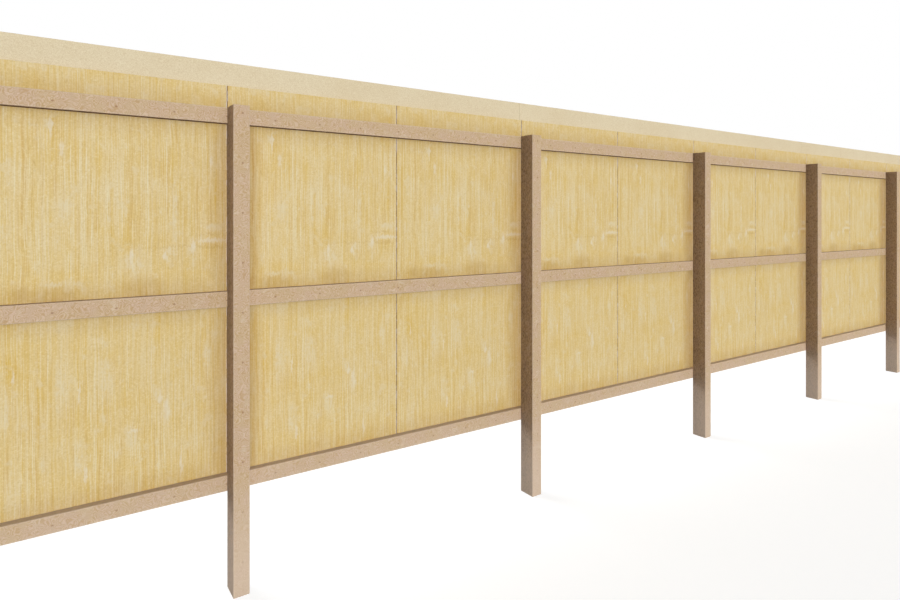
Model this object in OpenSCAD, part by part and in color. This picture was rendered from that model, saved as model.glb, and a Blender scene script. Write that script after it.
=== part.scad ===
// Timber construction hoarding: a run of six bays.
// Posts stand on the site side, three lines of rails are fixed behind them, plywood sheets
// stand upright on the rails, and a pale fascia board runs along the top of the public side.
// X runs along the fence, +Y points to the public side and +Z is up.
// The origin is the middle of the foot of the middle post.

/* [Plywood sheets] */
// Width of a plywood sheet
sheet_w = 1220; // [1000:5:1500]
// Thickness of a plywood sheet
sheet_t = 18; // [9:1:40]
// Clear joint between two neighbouring sheets
sheet_gap = 2; // [1:0.5:6]
// Height of the sheets above the posts' tops
sheet_rise = 150; // [0:5:300]
// Length by which the sheets lap the bottom rail
sheet_lap = 48; // [20:1:60]

/* [Posts] */
// How much closer the posts stand than two sheets, so that the joints creep along past them
joint_creep = 44; // [0:1:90]
// Width of a post along the fence
post_w = 98; // [60:1:150]
// Depth of a post across the fence
post_d = 148; // [60:1:200]
// Height of the posts above the ground
post_h = 3000; // [2200:10:3600]

/* [Rails] */
// Height of a rail's section
rail_h = 98; // [60:1:200]
// Thickness of a rail across the fence
rail_t = 57; // [30:1:100]
// Clear height under the bottom rail
ground_gap = 600; // [50:10:1000]
// Length of rails, sheets and fascia past the outer face of each end post
end_overhang = 30; // [0:1:100]

/* [Fascia] */
// Height of the fascia above the sheets' tops
fascia_rise = 150; // [20:5:300]
// Thickness of the fascia board
fascia_t = 18; // [9:1:40]
// Clear joint between two neighbouring lengths of fascia
fascia_gap = 1; // [0.5:0.5:6]

/* [Hidden] */

post_colour = "#C8AF93";
rail_colour = "#C2A98C";
sheet_colour = "#DCC48C";
fascia_colour = "#E0D0B0";

// The run: seven posts make six bays, with two sheets to a bay
posts = 7;
middle_post = 4;
sheets_per_bay = 2;
sheets = sheets_per_bay * (posts - 1);
sheet_pitch = sheet_w + sheet_gap;
post_pitch = sheets_per_bay * sheet_pitch - joint_creep;
// Outer ends of the rails, sheets and fascia
run_end = (middle_post - 1) * post_pitch + post_w / 2 + end_overhang;
// Faces of the layers, from the site side to the public side
rail_face = post_d / 2;
sheet_face = rail_face + rail_t;
fascia_face = sheet_face + sheet_t;
// Undersides of the three lines of rails: the top one is flush with the posts' tops
bottom_z = ground_gap;
top_z = post_h - rail_h;
middle_z = (bottom_z + top_z) / 2;
// Feet and tops of the boards: the fascia's foot is level with the top rail's underside
sheet_foot = bottom_z + rail_h - sheet_lap;
sheet_top = post_h + sheet_rise;
fascia_foot = top_z;
fascia_top = sheet_top + fascia_rise;

// X of the centre of post i
function post_x(i) = (i - middle_post) * post_pitch;
// X of the joint in a line of rails or fascia at post i: the run's end, past the end posts
function joint_x(i) = i <= 1 ? -run_end : i >= posts ? run_end : post_x(i);

// A post, standing on the ground
module post(i) {
    color(post_colour)
        translate([post_x(i) - post_w / 2, -post_d / 2, 0])
            cube([post_w, post_d, post_h]);
}

// A length of rail on the backs of the posts, from the joint at post a to the joint at post b
module rail(a, b, z) {
    color(rail_colour)
        translate([joint_x(a), rail_face, z])
            cube([joint_x(b) - joint_x(a), rail_t, rail_h]);
}

// Sheet i, upright on the rails: the last one is cut to the run's end
module sheet(i) {
    left = -run_end + (i - 1) * sheet_pitch;
    right = i == sheets ? run_end : left + sheet_w;
    color(sheet_colour)
        translate([left, sheet_face, sheet_foot])
            cube([right - left, sheet_t, sheet_top - sheet_foot]);
}

// A length of fascia on the sheets' outer faces, from the joint at post a to the joint at post b
module fascia(a, b) {
    left = joint_x(a) + (a > 1 ? fascia_gap / 2 : 0);
    right = joint_x(b) - (b < posts ? fascia_gap / 2 : 0);
    color(fascia_colour)
        translate([left, fascia_face, fascia_foot])
            cube([right - left, fascia_t, fascia_top - fascia_foot]);
}

post(1);  // post_1
post(2);  // post_2
post(3);  // post_3
post(4);  // post_4
post(5);  // post_5
post(6);  // post_6
post(7);  // post_7
rail(1, 3, bottom_z);  // rail_bottom_1
rail(3, 5, bottom_z);  // rail_bottom_2
rail(5, 7, bottom_z);  // rail_bottom_3
rail(1, 2, middle_z);  // rail_middle_1
rail(2, 4, middle_z);  // rail_middle_2
rail(4, 6, middle_z);  // rail_middle_3
rail(6, 7, middle_z);  // rail_middle_4
rail(1, 3, top_z);  // rail_top_1
rail(3, 5, top_z);  // rail_top_2
rail(5, 7, top_z);  // rail_top_3
sheet(1);  // sheet_1
sheet(2);  // sheet_2
sheet(3);  // sheet_3
sheet(4);  // sheet_4
sheet(5);  // sheet_5
sheet(6);  // sheet_6
sheet(7);  // sheet_7
sheet(8);  // sheet_8
sheet(9);  // sheet_9
sheet(10);  // sheet_10
sheet(11);  // sheet_11
sheet(12);  // sheet_12
fascia(1, 3);  // fascia_1
fascia(3, 5);  // fascia_2
fascia(5, 7);  // fascia_3
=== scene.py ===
import math
import bmesh
import bpy
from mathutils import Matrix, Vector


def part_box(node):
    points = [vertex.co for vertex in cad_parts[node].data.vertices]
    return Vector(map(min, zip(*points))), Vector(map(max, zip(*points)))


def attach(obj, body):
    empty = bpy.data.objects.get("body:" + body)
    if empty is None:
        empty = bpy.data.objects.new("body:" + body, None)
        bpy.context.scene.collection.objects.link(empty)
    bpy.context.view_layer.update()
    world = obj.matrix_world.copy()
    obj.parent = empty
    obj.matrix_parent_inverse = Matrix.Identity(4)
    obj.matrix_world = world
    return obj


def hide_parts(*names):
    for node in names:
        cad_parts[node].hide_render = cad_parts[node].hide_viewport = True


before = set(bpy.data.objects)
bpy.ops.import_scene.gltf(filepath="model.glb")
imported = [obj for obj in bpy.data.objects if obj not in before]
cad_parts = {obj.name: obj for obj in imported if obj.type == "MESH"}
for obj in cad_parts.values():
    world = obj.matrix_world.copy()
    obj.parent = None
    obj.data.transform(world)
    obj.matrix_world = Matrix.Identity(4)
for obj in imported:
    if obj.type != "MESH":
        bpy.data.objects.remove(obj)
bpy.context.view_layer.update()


def shade(red, green, blue):
    """The linear colour of a shade that is given as it is seen, each part 0 to 255."""
    parts = [part / 255 for part in (red, green, blue)]
    return (*[p / 12.92 if p < 0.04045 else ((p + 0.055) / 1.055) ** 2.4 for p in parts], 1)


def deselect():
    for thing in bpy.context.selected_objects:
        thing.select_set(False)


def pick(kind, test):
    """In edit mode: selects the edges or faces for which the test holds, and no others."""
    mesh = bpy.context.edit_object.data
    bpy.ops.mesh.select_mode(type=kind)
    bpy.ops.mesh.select_all(action="DESELECT")
    shape = bmesh.from_edit_mesh(mesh)
    for part in shape.edges if kind == "EDGE" else shape.faces:
        if test(part):
            part.select_set(True)
    bmesh.update_edit_mesh(mesh)


def squared_timber(name, lo, hi, along, eased=0.0025, step=0.03):
    """A block with eased edges. They are cut into short steps, so that the arrises can be bruised."""
    deselect()
    bpy.ops.mesh.primitive_cube_add(size=1, location=(lo + hi) / 2, scale=hi - lo)
    piece = bpy.context.object
    piece.name = piece.data.name = name
    bpy.ops.object.transform_apply(location=True, rotation=True, scale=True)
    bpy.ops.object.mode_set(mode="EDIT")
    bpy.ops.mesh.select_mode(type="EDGE")
    bpy.ops.mesh.select_all(action="SELECT")
    bpy.ops.mesh.bevel(offset=eased, segments=2, affect="EDGES")
    length = hi[along] - lo[along]
    most_of_it = 0.8 * length
    pick("EDGE", lambda e: abs(e.verts[0].co[along] - e.verts[1].co[along]) > most_of_it)
    bpy.ops.mesh.subdivide(number_cuts=round(length / step))
    bpy.ops.object.mode_set(mode="OBJECT")
    return piece


def bruise(piece, lo, hi, along, eased=0.0025, depth=0.0022):
    """Presses the middle of each rounded arris in by an uneven amount, and keeps the faces flat."""
    across = [axis for axis in range(3) if axis != along]
    clear = 0.15 * eased                # keeps off the lines where the arris meets the flat faces
    on_arris = [v.index for v in piece.data.vertices if all(
        clear < min(v.co[a] - lo[a], hi[a] - v.co[a]) < eased - clear for a in across)]
    piece.vertex_groups.new(name="arris").add(on_arris, 1.0, "REPLACE")
    knocks = bpy.data.textures.get("knocks") or bpy.data.textures.new("knocks", "CLOUDS")
    knocks.noise_scale = 0.06
    knocks.noise_depth = 3
    push = piece.modifiers.new("bruises", "DISPLACE")
    push.texture = knocks
    push.texture_coords = "GLOBAL"
    push.vertex_group = "arris"
    push.strength = depth
    push.mid_level = 1.0
    deselect()
    bpy.context.view_layer.objects.active = piece
    piece.select_set(True)
    bpy.ops.object.modifier_apply(modifier=push.name)
    bpy.ops.object.shade_smooth_by_angle(angle=math.radians(35))
    level = piece.modifiers.new("level_faces", "WEIGHTED_NORMAL")
    level.keep_sharp = True
    bpy.ops.object.modifier_apply(modifier=level.name)
    piece.select_set(False)


def copy_of(piece, name, shift):
    """A copy with its own mesh, moved by shift, with its place in its mesh."""
    twin = piece.copy()
    twin.data = piece.data.copy()
    twin.name = twin.data.name = name
    bpy.context.collection.objects.link(twin)
    deselect()
    twin.location = shift
    twin.select_set(True)
    bpy.context.view_layer.objects.active = twin
    bpy.ops.object.transform_apply(location=True, rotation=False, scale=False)
    twin.select_set(False)
    return twin


def stand_for(piece, part):
    """The piece takes that node's place on the fixed body: the node is hidden and the piece hung on the
    root.
    """
    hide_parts(part)
    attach(piece, "root")


def node(tree, kind, sockets=None, **settings):
    """Adds a shader node, sets its options, and wires or sets its inputs by name or number."""
    made = tree.nodes.new("ShaderNode" + kind)
    for option, value in settings.items():
        setattr(made, option, value)
    for socket, value in (sockets or {}).items():
        if isinstance(value, bpy.types.NodeSocket):
            tree.links.new(value, made.inputs[socket])
        else:
            made.inputs[socket].default_value = value
    return made


def calc(tree, operation, first, second=0.0, third=0.0):
    """One sum on numbers, as a socket."""
    return node(tree, "Math", {0: first, 1: second, 2: third}, operation=operation).outputs[0]


def vec(tree, x=0.0, y=0.0, z=0.0):
    """A vector put together from numbers, as a socket."""
    return node(tree, "CombineXYZ", {0: x, 1: y, 2: z}).outputs[0]


def ramp(tree, value, low, high, out_low=0.0, out_high=1.0):
    """A smooth step of value from low to high, as a socket."""
    return node(tree, "MapRange", {"Value": value, 1: low, 2: high, 3: out_low, 4: out_high},
                interpolation_type="SMOOTHSTEP").outputs[0]


def cloud(tree, where, scale, detail=2.0, rough=0.5, warp=0.0, flat=False):
    """A soft random pattern from 0 to 1, about 1/scale metres across, as a socket.
    A flat one takes only X and Y."""
    return node(tree, "TexNoise", {"Vector": where, "Scale": scale, "Detail": detail,
                                   "Roughness": rough, "Distortion": warp},
                noise_dimensions="2D" if flat else "3D").outputs["Fac"]


def blend(tree, amount, under, over, mode="MIX"):
    """One colour laid over another by an amount, as a socket."""
    mix = node(tree, "Mix", {"Factor": amount, 6: under, 7: over},
               data_type="RGBA", blend_type=mode)
    return mix.outputs[2]


def tint(tree, colour, pattern, amount, over, mode="MIX"):
    """The colour with another one laid over it, by that amount where the pattern is full."""
    return blend(tree, calc(tree, "MULTIPLY", pattern, amount), colour, over, mode)


def speckled(tree, colour, specks, reach, amount, darker, paler):
    """The colour with darker specks where the pattern is over its middle, and paler ones under it."""
    colour = blend(tree, ramp(tree, specks, 0.5, 0.5 + reach, 0.0, amount), colour, darker)
    return blend(tree, ramp(tree, specks, 0.5, 0.5 - reach, 0.0, amount), colour, paler)


def finish(name):
    """A new surface: its tree, its shader and the place on the object in metres."""
    material = bpy.data.materials.new(name)
    material.use_nodes = True
    tree = material.node_tree
    shader = tree.nodes["Principled BSDF"]
    shader.inputs["Specular IOR Level"].default_value = 0.25
    place = node(tree, "TexCoord").outputs["Object"]
    return material, tree, shader, place


def lay_on(tree, shader, colour, dullness, relief, strength, height):
    """Gives the surface its colour, its dullness, and its relief of so much strength and height."""
    tree.links.new(colour, shader.inputs["Base Color"])
    tree.links.new(dullness, shader.inputs["Roughness"])
    bump = node(tree, "Bump", {"Strength": strength, "Distance": height, "Height": relief})
    tree.links.new(bump.outputs[0], shader.inputs["Normal"])


def curly_timber(name, along, middle, half, spacing, knot):
    """Beige softwood: curly fibre, pin knots, paler arrises that are partly rubbed and partly a painted
    highlight, and rings on the cut ends.
    The faces that stand square to the sheets carry saw marks and painted shade, darkest towards the
    sheets, and all undersides are painted darker.
    along is the axis that the timber runs on; middle and half give its section, across and
    through the fence; spacing is how far apart such timbers are; knot gives the place of one
    knot along and across, and how far along it comes again."""
    material, tree, shader, place = finish(name)
    x, y, z = node(tree, "SeparateXYZ", {0: place}).outputs[:3]
    length, across = (z, x) if along == 2 else (x, z)
    across = calc(tree, "WRAP", calc(tree, "SUBTRACT", across, middle[0]), spacing / 2, -spacing / 2)
    through = calc(tree, "SUBTRACT", y, middle[1])
    normal = node(tree, "TexCoord").outputs["Normal"]
    facing = node(tree, "SeparateXYZ", {0: normal}).outputs

    def combed(lengthwise, sideways, inward, rough):
        """A pattern drawn out along the timber, so many to the metre along it, sideways and inward."""
        spot = vec(tree, calc(tree, "MULTIPLY", x, lengthwise if along == 0 else sideways),
                   calc(tree, "MULTIPLY", y, inward),
                   calc(tree, "MULTIPLY", z, lengthwise if along == 2 else sideways))
        return cloud(tree, spot, 1.0, 3.0, rough)

    # beige ground, pinker in some stretches and more golden in others, with pale patches
    colour = blend(tree, ramp(tree, cloud(tree, place, 9.0), 0.35, 0.65),
                   shade(204, 177, 149), shade(202, 176, 140))
    colour = blend(tree, ramp(tree, cloud(tree, place, 16.0, 1.0), 0.58, 0.74, 0.0, 0.5),
                   colour, shade(216, 199, 172))

    # curly fibre: level lines of a warped pattern, golden brown beside pale, broken here and there
    swirl = cloud(tree, place, 21.0, 1.0, 0.4, 0.5)
    line = calc(tree, "SINE", calc(tree, "MULTIPLY", swirl, 62.0))
    breaks = ramp(tree, cloud(tree, place, 24.0, 1.0), 0.26, 0.50)
    fibre = calc(tree, "MULTIPLY", ramp(tree, line, 0.2, 1.0), breaks)
    colour = tint(tree, colour, fibre, 0.52, shade(188, 148, 95))
    early = calc(tree, "MULTIPLY", ramp(tree, line, -0.2, -1.0), breaks)
    colour = tint(tree, colour, early, 0.42, shade(223, 199, 176))

    # fine straight grain and pores
    grain = combed(14.0, 420.0, 420.0, 0.6)
    colour = blend(tree, ramp(tree, grain, 0.5, 0.78, 0.0, 0.35), colour, shade(172, 140, 104))
    pores = cloud(tree, place, 190.0, 3.0, 0.75)
    colour = speckled(tree, colour, pores, 0.28, 0.6, shade(172, 142, 104), shade(230, 208, 184))

    # pin knots that go right through
    wobble = calc(tree, "MULTIPLY", calc(tree, "SUBTRACT", cloud(tree, place, 130.0), 0.5), 0.009)
    knot_along = calc(tree, "SUBTRACT", length, knot[0])
    knot_along = calc(tree, "WRAP", knot_along, knot[2] / 2, -knot[2] / 2)
    knot_place = vec(tree, calc(tree, "MULTIPLY", knot_along, 0.8),
                     calc(tree, "SUBTRACT", across, knot[1]), wobble)
    away = node(tree, "VectorMath", {0: knot_place}, operation="LENGTH").outputs["Value"]
    pin = calc(tree, "MULTIPLY", ramp(tree, away, 0.0072, 0.0030),
               ramp(tree, calc(tree, "ABSOLUTE", facing[1]), 0.4, 0.7))
    colour = tint(tree, colour, pin, 0.7, shade(156, 114, 80))

    # paler wood along the arrises: partly rubbed wear, partly a painted highlight
    corner = calc(tree, "MAXIMUM", calc(tree, "SUBTRACT", half[0], calc(tree, "ABSOLUTE", across)),
                  calc(tree, "SUBTRACT", half[1], calc(tree, "ABSOLUTE", through)))
    rubbed_and_highlit = ramp(tree, calc(tree, "ADD", corner, wobble), 0.007, 0.002, 0.0, 0.6)
    colour = blend(tree, rubbed_and_highlit, colour, shade(226, 206, 178))

    # the faces square to the sheets are as the saw left them, with marks across the grain and torn
    # fibre along it. Painted shade darkens them, most towards the sheets, and darkens all undersides
    sawn_and_shaded = ramp(tree, calc(tree, "ABSOLUTE", facing[2 - along]), 0.6, 0.8)
    saw_marks = calc(tree, "SINE", calc(tree, "MULTIPLY_ADD", cloud(tree, place, 9.0), 40.0,
                                        calc(tree, "MULTIPLY", length, 1400.0)))
    saw_marks = calc(tree, "MULTIPLY", ramp(tree, saw_marks, 0.2, 1.0), sawn_and_shaded)
    # painted shade: all undersides much darker, and the square faces darker towards the sheets
    painted_underside_shade = ramp(tree, facing[2], -0.6, -0.9)
    colour = blend(tree, painted_underside_shade, colour, (0.26, 0.17, 0.15, 1), "MULTIPLY")
    painted_shade_to_sheets = ramp(tree, calc(tree, "ADD", through, wobble), -half[1], half[1])
    painted_side_shade = blend(tree, painted_shade_to_sheets, (0.79, 0.77, 0.83, 1), (0.58, 0.56, 0.62, 1))
    colour = blend(tree, sawn_and_shaded, colour, painted_side_shade, "MULTIPLY")
    colour = tint(tree, colour, saw_marks, 0.2, shade(196, 170, 140))
    torn = combed(48.0, 150.0, 110.0, 0.7)
    dents = calc(tree, "MULTIPLY", ramp(tree, torn, 0.54, 0.34), sawn_and_shaded)
    fluff = calc(tree, "MULTIPLY", ramp(tree, torn, 0.48, 0.68), sawn_and_shaded)
    colour = tint(tree, colour, dents, 0.85, (0.48, 0.43, 0.41, 1), "MULTIPLY")
    colour = tint(tree, colour, fluff, 0.65, shade(184, 154, 120))

    # growth rings on the sawn ends
    pith = vec(tree, calc(tree, "ADD", across, 0.03), calc(tree, "ADD", through, 0.11), wobble)
    from_pith = node(tree, "VectorMath", {0: pith}, operation="LENGTH").outputs["Value"]
    rings = calc(tree, "SINE", calc(tree, "MULTIPLY", from_pith, 1300.0))
    end = blend(tree, ramp(tree, rings, -0.2, 0.9), shade(196, 166, 126), shade(158, 122, 84))
    on_end = ramp(tree, calc(tree, "ABSOLUTE", facing[along]), 0.6, 0.8)
    colour = blend(tree, on_end, colour, end)

    # pale dust on the lowest stretch and the low ledges, partly painted light from the floor and from
    # above
    height = calc(tree, "MULTIPLY_ADD", cloud(tree, place, 3.0, 4.0, 0.6), 0.3, z)
    settled_dust_and_top_light = calc(tree, "MULTIPLY", ramp(tree, facing[2], 0.6, 0.9),
                   ramp(tree, z, 1.5, 0.9, 0.0, 0.52))
    dust_and_painted_light = calc(tree, "MAXIMUM", ramp(tree, height, 1.05, 0.3, 0.0, 0.5), settled_dust_and_top_light)
    colour = blend(tree, dust_and_painted_light, colour, shade(223, 204, 186))

    # matt, with the fibre and the knots a little low and the saw marks standing up
    dullness = node(tree, "MapRange", {"Value": pores, 3: 0.66, 4: 0.9}).outputs[0]
    relief = calc(tree, "ADD", calc(tree, "MULTIPLY", grain, 0.6), calc(tree, "MULTIPLY", pores, 0.5))
    relief = calc(tree, "SUBTRACT", relief, calc(tree, "MULTIPLY", fibre, 0.5))
    relief = calc(tree, "SUBTRACT", relief, pin)
    relief = calc(tree, "ADD", relief, saw_marks)
    lay_on(tree, shader, colour, dullness, relief, strength=0.35, height=0.0006)
    return material


posts = sorted(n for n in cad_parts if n.startswith("post_"))
lo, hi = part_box(posts[0])
half_post = (hi - lo) / 2
post_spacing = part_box(posts[1])[0].x - lo.x
one_foot = 0.3048                   # the knots come again every foot along the timber
stock = squared_timber("post_stock", lo, hi, along=2)
stock.data.materials.append(curly_timber(
    "post_softwood", 2, middle=(0.0, 0.0), half=(half_post.x, half_post.y), spacing=post_spacing,
    knot=(0.207, 0.007, one_foot)))
for name in posts:
    at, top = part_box(name)
    post = copy_of(stock, name + "_timber", at - lo)
    bruise(post, at, top, along=2)
    stand_for(post, name)
bpy.data.objects.remove(stock)

# ---- Rails -----------------------------------------------------------------------------------
# Three lines of 57 by 98 mm timber run behind the posts, nailed to the posts' far faces.
# They are the same softwood as the posts. Lengths butt over a post, and the middle line's
# joints fall over other posts than those of the top and bottom lines.
rails = sorted(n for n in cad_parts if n.startswith("rail_"))
lo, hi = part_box("rail_bottom_1")
half_rail = (hi - lo) / 2
middle_rail = (lo + hi) / 2
rail_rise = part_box("rail_middle_1")[0].z - lo.z
rail_finish = curly_timber(
    "rail_softwood", 0, middle=(middle_rail.z, middle_rail.y), half=(half_rail.z, half_rail.y),
    spacing=rail_rise, knot=(-5.764, -0.006, one_foot))
for name in rails:
    at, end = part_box(name)
    rail = squared_timber(name + "_timber", at, end, along=0)
    rail.data.materials.append(rail_finish)
    bruise(rail, at, end, along=0)
    stand_for(rail, name)

# ---- Plywood sheets --------------------------------------------------------------------------
# Upright sheets of 1220 by 2500 by 18 mm softwood plywood cover the far side of the rails, 2 mm
# apart. Seven veneers are glued up, every other one crosswise, and the bare golden faces all
# come off the same log, so each sheet shows the same streaks. The last one is sawn to width.
plies = 7
shrunk_back = 0.0006                # how far the crosswise veneers lie in from the edges
worn_edge = 0.0012


def laid_up_sheet(name, lo, hi, step=0.02):
    """A sheet made as plywood is: one veneer on another, the crosswise ones shrunk back, and the
    outer edges worn. It is cut into short steps up its height."""
    deselect()
    size = hi - lo
    veneer = size.y / plies
    rows = round(size.z / step)
    bpy.ops.mesh.primitive_grid_add(x_subdivisions=1, y_subdivisions=rows, size=1,
                                    location=((lo.x + hi.x) / 2, lo.y, (lo.z + hi.z) / 2),
                                    rotation=(math.radians(90), 0, 0))
    piece = bpy.context.object
    piece.name = piece.data.name = name
    piece.scale = (size.x, size.z, 1)
    bpy.ops.object.transform_apply(location=True, rotation=True, scale=True)
    bpy.ops.object.mode_set(mode="EDIT")
    bpy.ops.mesh.select_mode(type="FACE")
    bpy.ops.mesh.select_all(action="SELECT")
    for _ in range(plies):
        bpy.ops.mesh.extrude_region_move(TRANSFORM_OT_translate={"value": (0, veneer, 0)})
    bpy.ops.mesh.select_all(action="SELECT")
    bpy.ops.mesh.normals_make_consistent(inside=False)

    def crosswise(face):
        layer = int((face.calc_center_median().y - lo.y) / veneer)
        return abs(face.normal.y) < 0.5 and layer % 2 == 1
    pick("FACE", crosswise)
    bpy.ops.transform.shrink_fatten(value=-shrunk_back)

    def outer_rim(edge):
        on_face = all(min(abs(v.co.y - lo.y), abs(v.co.y - hi.y)) < 1e-5 for v in edge.verts)
        beside_edge = any(abs(f.normal.y) < 0.5 for f in edge.link_faces)
        return on_face and beside_edge and len(edge.link_faces) == 2
    pick("EDGE", outer_rim)
    bpy.ops.mesh.bevel(offset=worn_edge, segments=1, affect="EDGES")
    bpy.ops.object.mode_set(mode="OBJECT")
    return piece


def golden_plywood(name, left, width, joint, face, veneer, posts_at, rails_at, half_timber):
    """Bare softwood plywood: upright golden and cream streaks and scuffs that come again on every
    sheet, painted shade in a deeper gold beside posts and rails, splintered edges at the joints,
    and striped veneers on the edges. The pattern starts at left, and width is a sheet and a joint.
    face is where the site face lies, posts_at is one post and the step to the next, rails_at
    the rails' heights, and half_timber half the width of a post or rail."""
    material, tree, shader, place = finish(name)
    x, y, z = node(tree, "SeparateXYZ", {0: place}).outputs[:3]
    across = calc(tree, "FLOORED_MODULO", calc(tree, "SUBTRACT", x, left), width)
    facing = node(tree, "SeparateXYZ", {0: node(tree, "TexCoord").outputs["Normal"]}).outputs
    on_site_face = ramp(tree, facing[1], -0.5, -0.8)

    # the streaks sway a little, and each leaf of veneer has its own, further along the same pattern
    leaf = calc(tree, "MULTIPLY", calc(tree, "SUBTRACT", y, face), 300.0)
    sway = vec(tree, calc(tree, "MULTIPLY", across, 9.0), calc(tree, "MULTIPLY", z, 3.2))
    sway = cloud(tree, sway, 1.0, 1.0, flat=True)
    swaying = calc(tree, "MULTIPLY_ADD", sway, 0.016, across)

    def drawn(wide, high, sort, detail, rough):
        """A pattern drawn out to so wide and so high on the face veneer, another for each sort."""
        start = calc(tree, "ADD", leaf, 40.0 * sort)
        spot = vec(tree, calc(tree, "MULTIPLY_ADD", swaying, 1 / wide, start),
                   calc(tree, "MULTIPLY", z, 1 / high))
        return cloud(tree, spot, 1.0, detail, rough, flat=True)

    # golden where the fields, the columns and the straight streaks add up, and cream between
    fields = drawn(0.20, 0.26, 0, 4.0, 0.65)
    columns = drawn(0.032, 1.1, 1, 2.0, 0.6)
    streaks = drawn(0.009, 1.0, 2, 2.0, 0.6)
    gold = calc(tree, "ADD", calc(tree, "MULTIPLY", fields, 0.7), calc(tree, "MULTIPLY", columns, 0.45))
    gold = calc(tree, "MULTIPLY_ADD", streaks, 1.0, gold)
    gold = node(tree, "MapRange", {"Value": gold, 1: 0.65, 2: 1.50}).outputs[0]
    colour = blend(tree, gold, shade(226, 209, 168), shade(218, 183, 92))

    # darker and paler hair streaks, each fading out along its length
    fade = drawn(0.02, 0.22, 3, 2.0, 0.6)
    hairs = drawn(0.0045, 1.6, 4, 1.0, 0.5)
    dark = calc(tree, "MULTIPLY", ramp(tree, hairs, 0.54, 0.70), ramp(tree, fade, 0.40, 0.60))
    pale = calc(tree, "MULTIPLY", ramp(tree, hairs, 0.46, 0.30), ramp(tree, fade, 0.60, 0.40))
    colour = tint(tree, colour, dark, 0.52, shade(203, 160, 78))
    colour = tint(tree, colour, pale, 0.6, shade(232, 222, 188))

    # a canvas-like speck all over
    speck = cloud(tree, place, 110.0, 3.0, 0.75)
    colour = speckled(tree, colour, speck, 0.30, 0.6, shade(192, 162, 98), shade(240, 228, 190))

    # whitish smears, ragged and broken into streaks
    smear = drawn(0.07, 0.11, 5, 4.0, 0.62)
    smear = calc(tree, "MULTIPLY", ramp(tree, smear, 0.56, 0.70), ramp(tree, streaks, 0.3, 0.6))

    # scuffs, golden patches and stains on the site face, the same on each sheet
    grain = calc(tree, "ADD", streaks, drawn(0.03, 0.06, 6, 3.0, 0.7))
    grain = calc(tree, "MULTIPLY", grain, 0.5)
    shift_across, shift_up = 0.03, 0.06    # how far a mark's outline may wander, in metres
    ragged_across = calc(tree, "MULTIPLY_ADD", drawn(0.02, 0.05, 7, 3.0, 0.6), shift_across, across)
    ragged_up = calc(tree, "MULTIPLY_ADD", drawn(0.012, 0.09, 8, 3.0, 0.7), shift_up, z)
    ragged_place = vec(tree, ragged_across, ragged_up)

    def marks(thin, thick, *places):
        """Soft-edged ragged marks, each given by its middle and half its size, across and up.
        They fade out where the grain is under thin, and are whole where it is over thick."""
        nearest = 2.0
        for middle, up, half_wide, half_high in places:
            size = (1 / half_wide, 1 / half_high, 0.0)
            centre = (-(middle + shift_across / 2) / half_wide, -(up + shift_up / 2) / half_high, 0.0)
            offset = node(tree, "VectorMath", {0: ragged_place, 1: size, 2: centre},
                          operation="MULTIPLY_ADD")
            away = node(tree, "VectorMath", {0: offset.outputs["Vector"]}, operation="LENGTH")
            nearest = calc(tree, "MINIMUM", nearest, away.outputs["Value"])
        found = calc(tree, "MULTIPLY", ramp(tree, nearest, 1.2, 0.3), ramp(tree, grain, thin, thick))
        return calc(tree, "MULTIPLY", found, on_site_face)

    stained = marks(
        0.25, 0.6, (0.30, 1.875, 0.17, 0.06), (0.15, 1.895, 0.06, 0.05), (0.74, 1.89, 0.13, 0.095),
        (0.90, 2.135, 0.35, 0.004), (1.12, 2.13, 0.10, 0.012), (1.10, 2.205, 0.10, 0.005),
        (0.360, 3.065, 0.012, 0.012), (0.597, 2.81, 0.005, 0.012), (0.215, 2.61, 0.005, 0.012))
    ripe = marks(
        0.3, 0.7, (1.07, 2.64, 0.05, 0.05), (0.947, 2.38, 0.010, 0.22), (1.10, 2.52, 0.12, 0.10),
        (0.05, 2.5, 0.03, 0.5), (0.25, 2.62, 0.05, 0.09))
    cloudy = marks(
        0.40, 0.58, (0.70, 2.04, 0.09, 0.09), (0.89, 2.09, 0.05, 0.06), (1.01, 2.11, 0.04, 0.05),
        (0.915, 2.36, 0.018, 0.28), (0.35, 2.37, 0.05, 0.12), (0.33, 1.38, 0.03, 0.18),
        (0.55, 1.40, 0.05, 0.14), (0.82, 1.25, 0.03, 0.06), (0.87, 1.15, 0.03, 0.08),
        (0.565, 2.36, 0.012, 0.12), (1.13, 2.25, 0.08, 0.03), (0.34, 1.94, 0.13, 0.018),
        (0.27, 2.83, 0.035, 0.03), (0.09, 1.27, 0.015, 0.14), (0.42, 0.95, 0.03, 0.12),
        (0.68, 1.02, 0.04, 0.06), (0.70, 1.70, 0.04, 0.05), (1.10, 1.45, 0.03, 0.12))
    scuffed = marks(
        0.22, 0.5, (0.285, 2.81, 0.010, 0.075), (0.335, 2.69, 0.013, 0.055),
        (1.125, 2.67, 0.015, 0.032), (1.02, 2.14, 0.014, 0.055), (1.13, 2.168, 0.11, 0.014),
        (0.68, 2.08, 0.012, 0.055), (0.86, 2.08, 0.016, 0.024), (0.12, 1.46, 0.010, 0.045),
        (0.95, 0.83, 0.010, 0.09), (0.42, 1.32, 0.008, 0.07), (0.87, 1.16, 0.018, 0.07),
        (0.83, 1.23, 0.016, 0.035), (0.45, 0.86, 0.010, 0.06), (0.69, 1.06, 0.035, 0.011))
    colour = tint(tree, colour, ripe, 0.5, shade(213, 178, 92))
    colour = tint(tree, colour, stained, 0.44, shade(194, 156, 84))
    pale_patch = calc(tree, "MAXIMUM", calc(tree, "MULTIPLY", smear, 0.42),
                      calc(tree, "MULTIPLY", cloudy, 0.62))
    colour = blend(tree, pale_patch, colour, shade(226, 213, 181))
    colour = tint(tree, colour, scuffed, 0.62, shade(230, 220, 198))
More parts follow.
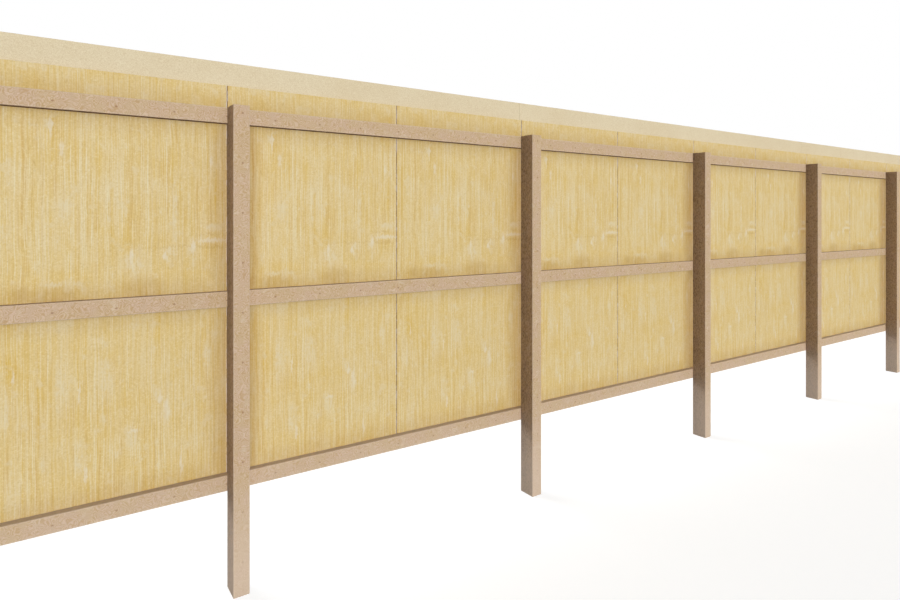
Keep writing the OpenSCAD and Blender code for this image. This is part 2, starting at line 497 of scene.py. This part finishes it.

    # painted shade beside the posts and rails: a deeper, browner gold, most right of each post
    beside = calc(tree, "SUBTRACT", x, posts_at[0])
    beside = calc(tree, "WRAP", beside, posts_at[1] / 2, -posts_at[1] / 2)
    shade_right_of_post = calc(tree, "MULTIPLY",
                         ramp(tree, beside, half_timber + 0.17, half_timber + 0.02, 0.0, 0.85),
                         ramp(tree, beside, half_timber - 0.01, half_timber))
    from_post = calc(tree, "ABSOLUTE", beside)
    shade_by_post = calc(tree, "MULTIPLY",
                   ramp(tree, from_post, half_timber + 0.14, half_timber + 0.02, 0.0, 0.48),
                   ramp(tree, from_post, half_timber - 0.012, half_timber + 0.004, 0.35, 1.0))
    top_edge = rails_at[-1] + half_timber
    painted_shade = calc(tree, "MULTIPLY", calc(tree, "MAXIMUM", shade_right_of_post, shade_by_post),
                ramp(tree, z, top_edge + 0.06, top_edge))
    shade_over_top_rail = calc(tree, "MULTIPLY", ramp(tree, z, top_edge + 0.14, top_edge, 0.0, 0.36),
                         ramp(tree, z, rails_at[-1], top_edge))
    painted_shade = calc(tree, "MAXIMUM", painted_shade, shade_over_top_rail)
    for rail_at in rails_at:
        from_rail = calc(tree, "ABSOLUTE", calc(tree, "SUBTRACT", z, rail_at))
        shade_by_rail = ramp(tree, from_rail, half_timber + 0.14, half_timber, 0.0, 0.32)
        painted_shade = calc(tree, "MAXIMUM", painted_shade, shade_by_rail)
    painted_shade = calc(tree, "MULTIPLY", painted_shade, on_site_face)
    colour = blend(tree, painted_shade, colour, (0.66, 0.56, 0.42, 1), "MULTIPLY")

    # splintered edges at the joints: whitish dashes, and a golden line along the left edge
    rim = calc(tree, "MINIMUM", across, calc(tree, "SUBTRACT", width - joint, across))
    torn = drawn(0.01, 0.08, 9, 3.0, 0.7)
    torn = calc(tree, "MULTIPLY", ramp(tree, torn, 0.48, 0.56), ramp(tree, rim, 0.0055, 0.0035))
    colour = blend(tree, ramp(tree, across, 0.012, 0.006, 0.0, 0.6), colour, shade(208, 168, 84))
    colour = blend(tree, ramp(tree, rim, 0.004, 0.002, 0.0, 0.6), colour, shade(150, 112, 78))
    colour = tint(tree, colour, torn, 0.9, shade(226, 216, 208))

    # the edges of the veneers: long grain and end grain by turns
    depth = calc(tree, "DIVIDE", calc(tree, "SUBTRACT", y, face), veneer)
    turn = calc(tree, "FLOORED_MODULO", depth, 2.0)
    layer = blend(tree, ramp(tree, turn, 0.95, 1.05), shade(212, 182, 128), shade(158, 118, 72))
    layer = blend(tree, ramp(tree, speck, 0.45, 0.75, 0.0, 0.6), layer, shade(142, 106, 66))
    on_edge = ramp(tree, calc(tree, "ABSOLUTE", facing[1]), 0.6, 0.3)
    colour = blend(tree, on_edge, colour, layer)

    # a slight sheen between the streaks, which stand up a little, and hollows where it is torn
    dullness = calc(tree, "MULTIPLY_ADD", speck, 0.3, calc(tree, "MULTIPLY_ADD", streaks, 0.25, 0.36))
    relief = calc(tree, "MULTIPLY_ADD", streaks, 0.8, calc(tree, "MULTIPLY", hairs, 0.5))
    relief = calc(tree, "MULTIPLY_ADD", speck, 0.5, calc(tree, "SUBTRACT", relief, torn))
    lay_on(tree, shader, colour, dullness, relief, strength=0.3, height=0.0005)
    return material


sheets = [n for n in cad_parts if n.startswith("sheet_")]
sheets.sort(key=lambda n: int(n.split("_")[1]))
lo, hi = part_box(sheets[0])
sheet_wide = hi.x - lo.x
pattern_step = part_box(sheets[1])[0].x - lo.x
master = laid_up_sheet("sheet_stock", lo, hi)
master.data.materials.append(golden_plywood(
    "golden_plywood", left=lo.x, width=pattern_step, joint=pattern_step - sheet_wide,
    face=lo.y, veneer=(hi.y - lo.y) / plies,
    posts_at=(sum(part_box(posts[0])[end].x for end in (0, 1)) / 2, post_spacing),
    rails_at=[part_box(f"rail_{level}_1")[0].z + half_rail.z for level in ("bottom", "middle", "top")],
    half_timber=half_rail.z))
for name in sheets:
    at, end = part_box(name)
    sheet = copy_of(master, name + "_plywood", at - lo)
    deselect()
    bpy.context.view_layer.objects.active = sheet
    sheet.select_set(True)
    sawn_to_width = end.x < at.x + sheet_wide - 1e-4
    if sawn_to_width:
        bpy.ops.object.mode_set(mode="EDIT")
        bpy.ops.mesh.select_all(action="SELECT")
        bpy.ops.mesh.bisect(plane_co=(end.x, 0, 0), plane_no=(1, 0, 0), use_fill=True, clear_outer=True)
        bpy.ops.object.mode_set(mode="OBJECT")
    bpy.ops.object.shade_smooth_by_angle(angle=math.radians(30))
    stand_for(sheet, name)
bpy.data.objects.remove(master)

# ---- Fascia ----------------------------------------------------------------------------------
# A pale board, 398 mm high and 18 mm thick, is nailed over the tops of the sheets on the
# public side and stands 150 mm above them. It is cream, finely flecked and matt, in lengths of
# two bays that butt almost without a line.
from mathutils import Vector

head_thick = 0.0012
head_out = head_thick / 2           # how far the nail heads stand out of the board
board_eased = 0.0015


def flecked_board(name):
    """Pale board: short curly cream flecks on a sandy ground, in paler and browner patches."""
    material, tree, shader, place = finish(name)
    colour = blend(tree, ramp(tree, cloud(tree, place, 1.6, 3.0, 0.6), 0.35, 0.65),
                   shade(227, 212, 179), shade(223, 206, 171))
    flecks = cloud(tree, place, 60.0, 2.0, 0.6, 1.2)
    flecks = calc(tree, "SINE", calc(tree, "MULTIPLY", flecks, 34.0))
    colour = blend(tree, ramp(tree, flecks, 0.3, 1.0, 0.0, 0.5), colour, shade(236, 224, 196))
    colour = blend(tree, ramp(tree, flecks, -0.3, -1.0, 0.0, 0.45), colour, shade(206, 184, 142))
    grit = cloud(tree, place, 140.0, 3.0, 0.75)
    colour = speckled(tree, colour, grit, 0.28, 0.5, shade(200, 178, 138), shade(242, 232, 208))
    dullness = calc(tree, "MULTIPLY_ADD", grit, 0.3, 0.6)
    relief = calc(tree, "MULTIPLY_ADD", flecks, 0.3, grit)
    lay_on(tree, shader, colour, dullness, relief, strength=0.25, height=0.0004)
    return material


boards = sorted(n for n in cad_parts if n.startswith("fascia_"))
board_finish = flecked_board("flecked_board")
for name in boards:
    at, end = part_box(name)
    face = end - Vector((0, head_out, 0))
    board = squared_timber(name + "_board", at, face, along=0, eased=board_eased, step=0.06)
    board.data.materials.append(board_finish)
    bruise(board, at, face, along=0, eased=board_eased, depth=0.001)
    stand_for(board, name)

# ---- Nails -----------------------------------------------------------------------------------
# Galvanised wire nails with flat 8 mm heads hold each sheet to the bottom and middle rails, five
# to a rail, and hold the fascia through the sheets to the top rail in a staggered row. They are
# driven from the public side, and their heads stand a little proud of the face.
import random

head_radius = 0.004
shank_radius = 0.0015
shank_long = 0.05
point_long = 0.005
head_worn = 0.0004


def wire_nail(name):
    """One nail: the middle of its flat head is at the origin, and its shank and point run to -Y."""
    deselect()
    bpy.ops.mesh.primitive_cylinder_add(vertices=10, radius=head_radius, depth=head_thick,
                                        rotation=(math.radians(-90), 0, 0))
    nail = bpy.context.object
    nail.name = nail.data.name = name
    bpy.ops.object.transform_apply(location=True, rotation=True, scale=True)
    bpy.ops.object.mode_set(mode="EDIT")
    pick("FACE", lambda f: f.normal.y < -0.9)
    bpy.ops.mesh.inset(thickness=head_radius - shank_radius)
    bpy.ops.mesh.extrude_region_move(TRANSFORM_OT_translate={"value": (0, -shank_long, 0)})
    bpy.ops.mesh.extrude_region_move(TRANSFORM_OT_translate={"value": (0, -point_long, 0)})
    bpy.ops.transform.resize(value=(0.1, 1, 0.1))
    pick("EDGE", lambda e: all(v.co.y > 0.8 * head_thick / 2 for v in e.verts))
    bpy.ops.mesh.bevel(offset=head_worn, segments=1, affect="EDGES")
    bpy.ops.object.mode_set(mode="OBJECT")
    bpy.ops.object.shade_smooth_by_angle(angle=math.radians(40))
    return nail


def dull_zinc(name):
    """Galvanised steel: mottled dull grey with paler bloom, a little pitted by the hammer."""
    material, tree, shader, place = finish(name)
    shader.inputs["Metallic"].default_value = 0.8
    bloom = cloud(tree, place, 700.0, 3.0, 0.6)
    colour = blend(tree, ramp(tree, bloom, 0.35, 0.65), shade(150, 149, 146), shade(182, 181, 177))
    stain = ramp(tree, cloud(tree, place, 160.0, 2.0), 0.58, 0.75, 0.0, 0.5)
    colour = blend(tree, stain, colour, shade(132, 104, 78))
    dullness = calc(tree, "MULTIPLY_ADD", bloom, 0.4, 0.3)
    lay_on(tree, shader, colour, dullness, relief=bloom, strength=0.3, height=0.0002)
    return material


def drive_nails(name, places):
    """A row of nails as one piece, with a nail at each place."""
    row = [copy_of(nail, f"{name}_{count}", spot) for count, spot in enumerate(places)]
    deselect()
    for driven in row:
        driven.select_set(True)
    bpy.context.view_layer.objects.active = row[0]
    bpy.ops.object.join()
    row[0].name = row[0].data.name = name
    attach(row[0], "root")


# each nail is a few millimetres off its mark and driven more or less home
hand = random.Random(5)
off_mark = 0.004
nail = wire_nail("nail_stock")
nail.data.materials.append(dull_zinc("dull_zinc"))

nails_a_sheet = 5
from_edge = 0.02
for level, part in (("bottom", "rail_bottom_1"), ("middle", "rail_middle_1")):
    rail_lo, rail_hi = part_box(part)
    spots = []
    for name in sheets:
        at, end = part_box(name)
        nailed = end.x - at.x - 2 * from_edge
        height = (max(rail_lo.z, at.z) + rail_hi.z) / 2
        for step in range(nails_a_sheet):
            along_sheet = at.x + from_edge + nailed * step / (nails_a_sheet - 1)
            spots.append((along_sheet + hand.uniform(-off_mark, off_mark),
                          end.y + hand.uniform(-0.0002, 0.0004),
                          height + hand.uniform(-off_mark, off_mark)))
    drive_nails(f"nails_{level}_rail", spots)

nails_apart = 0.3
from_end = 0.03
stagger = 0.025
rail_lo, rail_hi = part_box("rail_top_1")
spots = []
for name in boards:
    at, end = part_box(name)
    nailed = end.x - at.x - 2 * from_end
    count = round((end.x - at.x) / nails_apart)
    for step in range(count + 1):
        along_board = at.x + from_end + nailed * step / count
        height = (rail_lo.z + rail_hi.z) / 2 + (stagger if step % 2 else -stagger)
        spots.append((along_board + hand.uniform(-off_mark, off_mark),
                      end.y - head_out + hand.uniform(-0.0002, 0.0),
                      height + hand.uniform(-0.003, 0.003)))
drive_nails("nails_fascia", spots)
bpy.data.objects.remove(nail)

# ---- Floor, lights and camera ----------------------------------------------------------------
# A plain white floor. A wide soft lamp stands low on the site side, with a twin that casts no
# shadow and so keeps the shade of the posts soft, and another lamp stands on the public side.
# The room gives a weak light that grows towards the run's +X end.
def plainly_seen(tree):
    """1 for a ray that shows a surface, straight on, in gloss or through glass, and 0 for others."""
    path = node(tree, "LightPath").outputs
    return calc(tree, "MAXIMUM", path["Is Camera Ray"],
                calc(tree, "MAXIMUM", path["Is Glossy Ray"], path["Is Transmission Ray"]))


deselect()
bpy.ops.mesh.primitive_plane_add(size=160, location=(0, 0, 0))
floor = bpy.context.object
floor.name = "floor"
floor_finish = bpy.data.materials.new("floor_white")
floor_finish.use_nodes = True
tree = floor_finish.node_tree
tree.nodes.clear()
# it lights the object as a grey floor would, and is lifted to white where it is seen
matt = node(tree, "BsdfDiffuse", {"Color": (0.38, 0.38, 0.38, 1)})
lift = node(tree, "Emission", {"Strength": 0.8})
whiter = node(tree, "AddShader", {0: matt.outputs[0], 1: lift.outputs[0]})
surface = node(tree, "MixShader", {0: plainly_seen(tree), 1: matt.outputs[0], 2: whiter.outputs[0]})
node(tree, "OutputMaterial", {"Surface": surface.outputs[0]})
floor.data.materials.append(floor_finish)
floor.visible_shadow = False        # so that the low wide lamps also shine a little from below

room = bpy.data.worlds.new("room")
bpy.context.scene.world = room
room.use_nodes = True
tree = room.node_tree
tree.nodes.clear()
direction = node(tree, "TexCoord").outputs["Generated"]
toward = node(tree, "SeparateXYZ", {0: direction}).outputs["X"]
strength = node(tree, "MapRange", {"Value": toward, 1: -0.4, 2: 1.0, 3: 0.0, 4: 0.62}).outputs[0]
light = node(tree, "Background", {"Color": (1, 1, 1, 1), "Strength": strength})
backdrop = node(tree, "Background", {"Color": (1, 1, 1, 1), "Strength": 1.0})
walls = node(tree, "MixShader", {0: plainly_seen(tree), 1: light.outputs[0], 2: backdrop.outputs[0]})
node(tree, "OutputWorld", {"Surface": walls.outputs[0]})


def wide_lamp(name, strength, spread, turn, height, casts=True):
    """A soft lamp far off, so many degrees wide. turn is where it stands, in degrees round from
    the site side towards +X, height is in degrees up, and casts says whether it throws shadows."""
    lamp = bpy.data.lights.new(name, "SUN")
    lamp.energy = strength
    lamp.angle = math.radians(spread)
    lamp.use_shadow = casts
    stand = bpy.data.objects.new(name, lamp)
    bpy.context.collection.objects.link(stand)
    stand.rotation_euler = (math.radians(90 - height), 0, math.radians(turn))


wide_lamp("site_side_lamp", strength=0.92, spread=46, turn=-7, height=4)
wide_lamp("site_side_fill", strength=1.71, spread=46, turn=-7, height=4, casts=False)
wide_lamp("public_side_lamp", strength=2.4, spread=40, turn=205, height=28)

lens = bpy.data.cameras.new("camera")
camera = bpy.data.objects.new("camera", lens)
bpy.context.collection.objects.link(camera)
lens.sensor_width = 36
lens.lens = 24.144
lens.shift_y = -0.0912
near_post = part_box("post_2")[0]
eye_left, eye_back, eye_height, eye_turn = 0.9442, 3.7672, 2.3095, -33.813
camera.location = (near_post.x - eye_left, near_post.y - eye_back, eye_height)
camera.rotation_euler = (math.radians(90), 0, math.radians(eye_turn))
bpy.context.scene.camera = camera
bpy.context.scene.view_settings.view_transform = "Standard"
